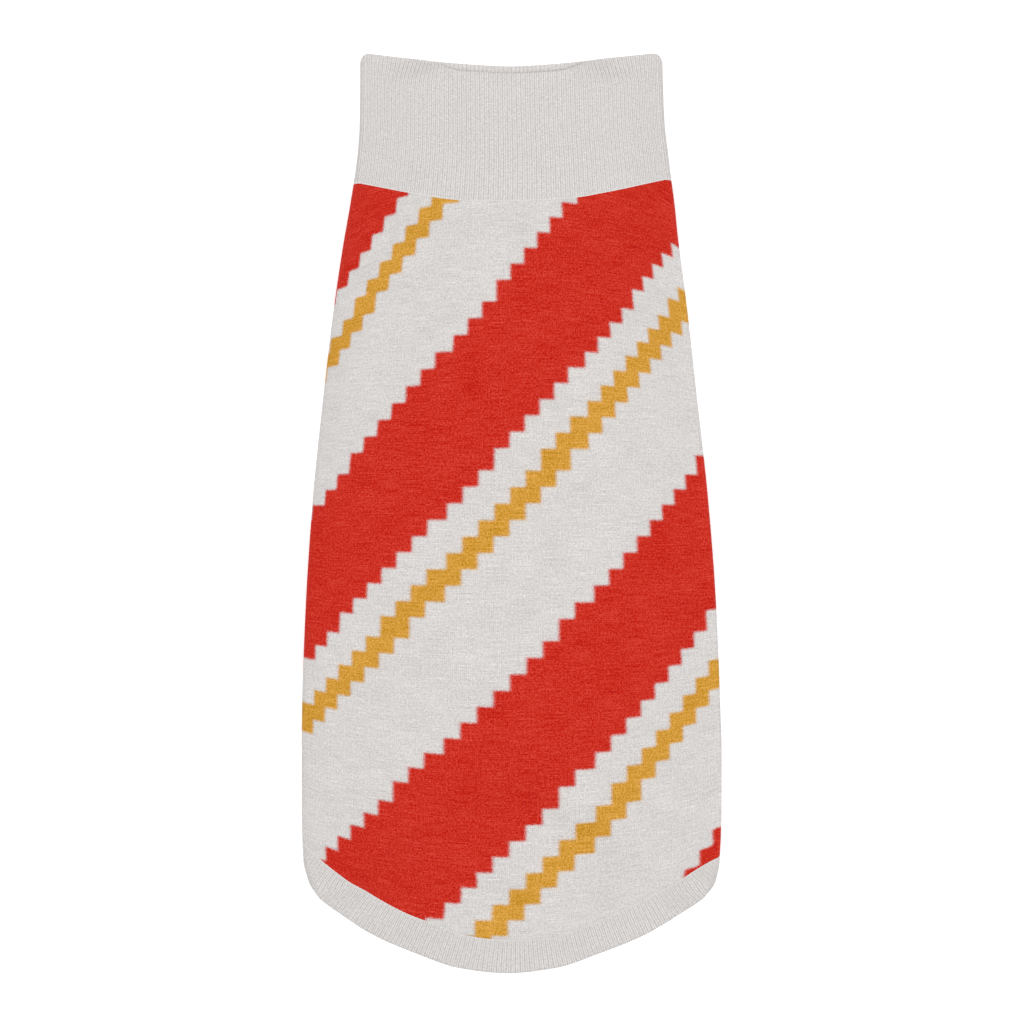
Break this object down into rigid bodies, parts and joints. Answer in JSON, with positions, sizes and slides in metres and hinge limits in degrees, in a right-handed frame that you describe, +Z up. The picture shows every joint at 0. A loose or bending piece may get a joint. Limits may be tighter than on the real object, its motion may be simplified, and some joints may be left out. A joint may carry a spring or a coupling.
{
  "type": "dog sweater",
  "caption": "Knitted pullover for a dog, laid flat with its back up: high ribbed collar, striped body, curved ribbed hem and two leg openings underneath.",
  "frame": {"origin": "middle of the flat garment, on the surface that it lies on", "axes": "+X to the garment's right as it lies back up, +Y along its length towards the collar, +Z up from the surface"},
  "size_m": [0.21, 0.46, 0.0062],
  "materials": {
    "jacquard_knit": "matte two-sided jacquard knit, heathered off-white with stepped diagonal stripes in red and gold",
    "rib_knit": "matte fine rib knit, heathered off-white"
  },
  "bodies": {
    "root": {"back_panel": "jacquard_knit", "belly_panel": "jacquard_knit", "collar": "rib_knit", "hem_rib": "rib_knit", "leg_rib_left": "rib_knit", "leg_rib_right": "rib_knit"}
  },
  "joints": []
}
